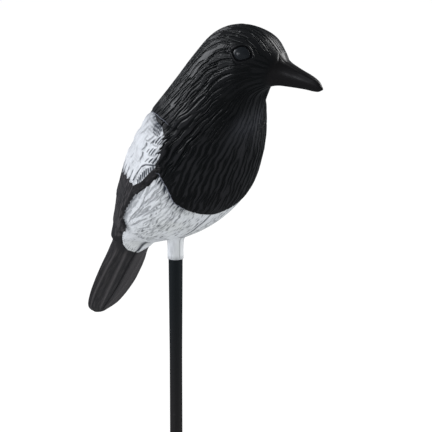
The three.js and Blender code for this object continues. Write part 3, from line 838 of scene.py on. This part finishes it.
# Materials
class Nodes:
    """Short names for building a material's nodes."""

    def __init__(self, name):
        self.material = bpy.data.materials.new(name)
        self.material.use_nodes = True
        self.tree = self.material.node_tree
        self.tree.nodes.clear()
        self.shader = self.new("BsdfPrincipled")
        self.tree.links.new(self.shader.outputs[0], self.new("OutputMaterial").inputs[0])

    def new(self, kind):
        return self.tree.nodes.new("ShaderNode" + kind)

    def put(self, socket, value):
        """Links a socket to another node's output, or sets its value."""
        if isinstance(value, bpy.types.NodeSocket):
            self.tree.links.new(value, socket)
        else:
            socket.default_value = value

    def fill(self, node, **values):
        """Puts values or outputs into a node's inputs; an underscore stands for a space."""
        for name, value in values.items():
            self.put(node.inputs[name.replace("_", " ")], value)
        return node

    def math(self, operation, a, b=0.0, clamp=False):
        node = self.new("Math")
        node.operation = operation
        node.use_clamp = clamp
        for socket, value in zip(node.inputs, (a, b)):
            self.put(socket, value)
        return node.outputs[0]

    def times(self, a, b):
        return self.math("MULTIPLY", a, b)

    def plus(self, a, b, clamp=False):
        return self.math("ADD", a, b, clamp)

    def minus(self, a, b):
        return self.math("SUBTRACT", a, b)

    def attribute(self, name):
        node = self.new("Attribute")
        node.attribute_name = name
        return node.outputs["Fac"]

    def step(self, value, start, end):
        """0 below start, 1 above end, smooth between."""
        node = self.fill(self.new("MapRange"), Value=value, From_Min=start, From_Max=end)
        node.interpolation_type = "SMOOTHSTEP"
        return node.outputs["Result"]

    def mix(self, share, a, b):
        node = self.new("Mix")
        node.data_type = "RGBA"
        self.put(node.inputs[0], share)
        for socket, colour in zip(node.inputs[6:8], (a, b)):
            self.put(socket, (*colour, 1) if isinstance(colour, tuple) else colour)
        return node.outputs[2]

    def vector(self, x, y, z=0.0):
        return self.fill(self.new("CombineXYZ"), X=x, Y=y, Z=z).outputs[0]

    def noise(self, vector, scale, detail=2.0, roughness=0.5, distortion=0.0):
        node = self.fill(self.new("TexNoise"), Vector=vector, Scale=scale, Detail=detail,
                         Roughness=roughness, Distortion=distortion)
        return node.outputs["Fac"]

    def object_coordinates(self):
        return self.new("TexCoord").outputs["Object"]

    def bump(self, height, distance, strength):
        node = self.fill(self.new("Bump"), Height=height, Distance=distance, Strength=strength)
        return node.outputs["Normal"]


# Paint colours
BLACK = (0.004, 0.0052, 0.0062)
BROWN_BLACK = (0.007, 0.0064, 0.0066)
BROWN = (0.016, 0.0135, 0.0125)
TAIL = (0.013, 0.0125, 0.014)
TAIL_MIDDLE = (0.036, 0.033, 0.031)
STREAK_AND_HIGHLIGHT = (0.1, 0.092, 0.096)
WHITE = (0.86, 0.88, 0.92)
CREAM = (0.76, 0.78, 0.77)
CREST_HIGHLIGHT = (0.038, 0.037, 0.042)
INK_AND_SHADE = (0.032, 0.04, 0.055)
THROAT_SHEEN = (0.26, 0.27, 0.33)
EDGE = (0.25, 0.26, 0.32)
EYE = (0.017, 0.02, 0.024)
BEAK = (0.0105, 0.0095, 0.0105)
LID_SHADE_AND_SEAM = (0.002, 0.002, 0.003)
STAKE_HIGH = ((0.0105, 0.0135, 0.016), (0.015, 0.0185, 0.021))     # darker and lighter streaks
STAKE_LOW = ((0.02, 0.0185, 0.0195), (0.026, 0.0245, 0.025))
SCUFF = (0.045, 0.045, 0.048)


def dark_paint(n, ring, degrees, streak, blotch):
    """Black and brown-black, the browner wing, the streaked tail and the bare beak, with painted highlights
    on the strands' crests, along some streaks and on the throat.
    """
    brownish = n.math("MAXIMUM", n.times(n.step(ring, 11.5, 15.0), 0.55), n.times(blotch, 0.35))
    black = n.mix(brownish, BLACK, BROWN_BLACK)
    wing_dark = n.times(n.attribute("wing"), n.step(degrees, 86, 98))
    wing_dark = n.times(wing_dark, n.step(ring, 13.1, 13.6))
    black = n.mix(n.times(wing_dark, n.step(streak, 0.3, 0.7)), black, BROWN)
    tail = n.mix(n.step(streak, 0.35, 0.75), TAIL, TAIL_MIDDLE)
    dark = n.mix(n.step(ring, 18.6, 19.6), black, tail)
    dark = n.mix(n.step(ring, 4.9, 4.3), dark, BEAK)
    # Painted highlight: lighter crests of the strands, stronger on the breast
    crest_highlight = n.times(n.step(n.attribute("relief"), 0.42, 0.54), n.step(ring, 4.5, 5.2))
    crest_highlight_share = n.plus(0.22, n.times(n.step(ring, 9.5, 11.5), 0.32))
    dark = n.mix(n.times(crest_highlight, crest_highlight_share), dark, CREST_HIGHLIGHT)
    dark = n.mix(n.attribute("streaks_and_highlights"), dark, STREAK_AND_HIGHLIGHT)
    return n.mix(n.attribute("throat_sheen"), dark, THROAT_SHEEN)


def light_paint(n, place, degrees, streak, blotch):
    """White that is creamier on the belly, darkened by dark paint marks, painted shade and grime."""
    cream = n.times(n.step(degrees, 112, 150), n.times(n.step(blotch, 0.35, 0.7), 0.6))
    light = n.mix(cream, WHITE, CREAM)
    grime = n.times(n.minus(1.0, n.step(streak, 0.3, 0.55)), 0.16)
    mottle = n.times(n.step(n.noise(place, 190, 2, 0.6), 0.5, 0.72), n.attribute("wing"))
    grime = n.plus(grime, n.times(mottle, 0.1))
    return n.mix(n.plus(n.attribute("ink_and_shade"), grime, clamp=True), light, INK_AND_SHADE)


def bird_material():
    n = Nodes("magpie_paint")
    place = n.object_coordinates()
    flow_x, flow_y = n.attribute("flow_x"), n.attribute("flow_y")
    streak = n.noise(n.vector(n.times(flow_x, 0.08), n.times(flow_y, 0.45)), 1.0, 3, 0.6, 0.4)
    barb = n.noise(n.vector(n.times(flow_x, 0.06), n.times(flow_y, 0.6)), 1.0, 2, 0.6, 0.3)
    blotch = n.noise(place, 45, 3, 0.55)
    ring, degrees, eye = n.attribute("ring"), n.attribute("degrees"), n.attribute("eye")

    wobble = n.times(n.minus(n.noise(place, 420, 2), 0.5), 0.9)
    white = n.step(n.plus(n.attribute("white_mm"), wobble), -0.22, 0.28)
    dark = dark_paint(n, ring, degrees, streak, blotch)
    colour = n.mix(white, dark, light_paint(n, place, degrees, streak, blotch))
    for edge, middle, half in (("bib", 0.0, 0.74), ("nape", -0.2, 0.55)):
        away = n.math("ABSOLUTE", n.minus(n.attribute(edge + "_mm"), middle))
        line_paint = n.times(n.step(away, half, 0.25 * half), n.attribute(edge + "_line"))
        colour = n.mix(n.times(line_paint, 0.9), colour, EDGE)
    colour = n.mix(eye, colour, EYE)
    colour = n.mix(n.times(n.attribute("lid_shade_and_seam"), 0.85), colour, LID_SHADE_AND_SEAM)

    rough = n.plus(n.plus(0.29, n.times(barb, 0.1)), n.times(white, 0.1))
    fine = n.plus(n.times(barb, 0.7), n.times(n.noise(place, 750, 2, 0.6), 0.01))
    feathered = n.times(n.minus(1.0, eye), n.step(ring, 4.3, 5.0))
    n.fill(n.shader, Base_Color=colour, Roughness=n.minus(rough, n.times(eye, 0.1)),
           Specular_IOR_Level=0.38, Normal=n.bump(n.times(fine, feathered), 0.0002, 0.1))
    return n.material


def stake_material():
    n = Nodes("stake_black_plastic")
    place = n.object_coordinates()
    axes = n.new("SeparateXYZ")
    n.put(axes.inputs[0], place)
    x, y, z = axes.outputs
    drawn = n.noise(n.vector(n.times(x, 900), n.times(y, 900), n.times(z, 12)), 1.0, 3, 0.6)
    scuff = n.step(n.noise(place, 130, 4, 0.7), 0.66, 0.72)
    colour = n.mix(n.step(z, 0.26, 0.08), n.mix(drawn, *STAKE_HIGH), n.mix(drawn, *STAKE_LOW))
    n.fill(n.shader, Base_Color=n.mix(n.times(scuff, 0.5), colour, SCUFF), Specular_IOR_Level=0.1,
           Roughness=n.plus(0.42, n.times(drawn, 0.16)), Normal=n.bump(drawn, 0.00008, 0.5))
    return n.material


def glow_material(name, strength):
    n = Nodes(name)
    grain = n.noise(n.object_coordinates(), 3, 3)
    n.fill(n.shader, Base_Color=n.mix(grain, (0.1, 0.1, 0.1), (0.12, 0.12, 0.12)), Roughness=0.9,
           Specular_IOR_Level=0.0, Emission_Color=(1, 1, 1, 1), Emission_Strength=strength)
    return n.material


paint = bird_material()
for piece in halves + [socket]:
    piece.data.materials.append(paint)
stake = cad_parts["stake"]
stake_look = stake_material()
if stake.data.materials:
    for k in range(len(stake.data.materials)):
        stake.data.materials[k] = stake_look
else:
    stake.data.materials.append(stake_look)

# Stage, light and camera
FLOOR_REACH = 14.0
corners = [(x * FLOOR_REACH, y * FLOOR_REACH, 0) for x, y in ((-1, -1), (1, -1), (1, 1), (-1, 1))]
floor_mesh = bpy.data.meshes.new("floor")
floor_mesh.from_pydata(corners, [], [(0, 1, 2, 3)])
floor = add_to_scene("floor", floor_mesh)
floor.data.materials.append(glow_material("pale_floor", 0.98))
floor.visible_glossy = False
floor.visible_diffuse = False

world = bpy.data.worlds.new("studio")
bpy.context.scene.world = world
world.use_nodes = True
background = world.node_tree.nodes["Background"]
background.inputs["Color"].default_value = (0.88, 0.94, 1.0, 1)
background.inputs["Strength"].default_value = 0.09


def soft_box(name, place, aim, width, height, radiance, colour=(1, 1, 1), mirrored=True):
    """A rectangular lamp of a given size in metres that the camera doesn't see."""
    light = bpy.data.lights.new(name, "AREA")
    light.shape = "RECTANGLE"
    light.size, light.size_y = width, height
    light.energy = radiance * math.pi * width * height
    light.color = colour
    lamp = add_to_scene(name, light)
    lamp.location = place
    lamp.rotation_euler = (Vector(aim) - Vector(place)).to_track_quat("-Z", "Y").to_euler()
    lamp.visible_camera = False
    lamp.visible_glossy = mirrored


AIM = Vector((0.0, -0.03, 0.38))
VIEW_AZIMUTH = math.radians(-30)
VIEW_ELEVATION = math.radians(16)
VIEW_DISTANCE = 2.5
MM_PER_PIXEL = 0.845       # at the look-at point
PICTURE_PIXELS = 432
SENSOR_MM = 36
LOOK_RIGHT, LOOK_UP = 0.03414, 0.03887     # the picture's middle, from the stake's axis at RING_LEVEL
view_right = Vector((math.cos(VIEW_AZIMUTH), math.sin(VIEW_AZIMUTH), 0))
view_back = Vector((math.sin(VIEW_AZIMUTH) * math.cos(VIEW_ELEVATION),
                    -math.cos(VIEW_AZIMUTH) * math.cos(VIEW_ELEVATION), math.sin(VIEW_ELEVATION)))
view_up = view_back.cross(view_right)
level_back = Vector((view_back.x, view_back.y, 0)).normalized()


def beside_camera(right, up, back):
    """A place in metres to the right of, above and in front of the bird as the camera sees it."""
    return AIM + right * view_right + up * Vector((0, 0, 1)) + back * level_back


soft_box("left_box", beside_camera(-1.5, 0.75, -0.15), AIM, 0.8, 1.3, 5.9, (0.94, 0.96, 1.0))
soft_box("left_window", beside_camera(-1.2, 0.75, 1.1), AIM, 0.3, 0.45, 7.0, (0.92, 0.94, 1.0))
soft_box("right_back_box", beside_camera(1.25, 0.95, -0.75), AIM, 0.7, 1.0, 8.5)
soft_box("right_box", beside_camera(1.55, 0.3, -0.1), AIM, 0.5, 1.1, 7.0)
soft_box("front_fill", beside_camera(-0.5, 0.0, 1.7), AIM, 1.4, 1.4, 1.8, (0.97, 0.98, 1.0), False)
soft_box("floor_bounce", Vector((0, 0, 0.02)), AIM, 3.0, 3.0, 0.7, (0.98, 1.0, 1.0), False)

camera_data = bpy.data.cameras.new("camera")
camera = add_to_scene("camera", camera_data)
camera_data.sensor_width = SENSOR_MM
camera_data.lens = SENSOR_MM * VIEW_DISTANCE / (PICTURE_PIXELS * MM_PER_PIXEL * MM)
camera_data.clip_end = 60
look_at = Vector((0, 0, RING_LEVEL * MM)) + LOOK_RIGHT * view_right + LOOK_UP * view_up
camera.location = look_at + view_back * VIEW_DISTANCE
camera.rotation_euler = view_back.to_track_quat("Z", "Y").to_euler()
bpy.context.scene.camera = camera

view_settings = bpy.context.scene.view_settings
view_settings.view_transform = "Standard"
view_settings.look = "None"
view_settings.exposure = 0
view_settings.gamma = 1
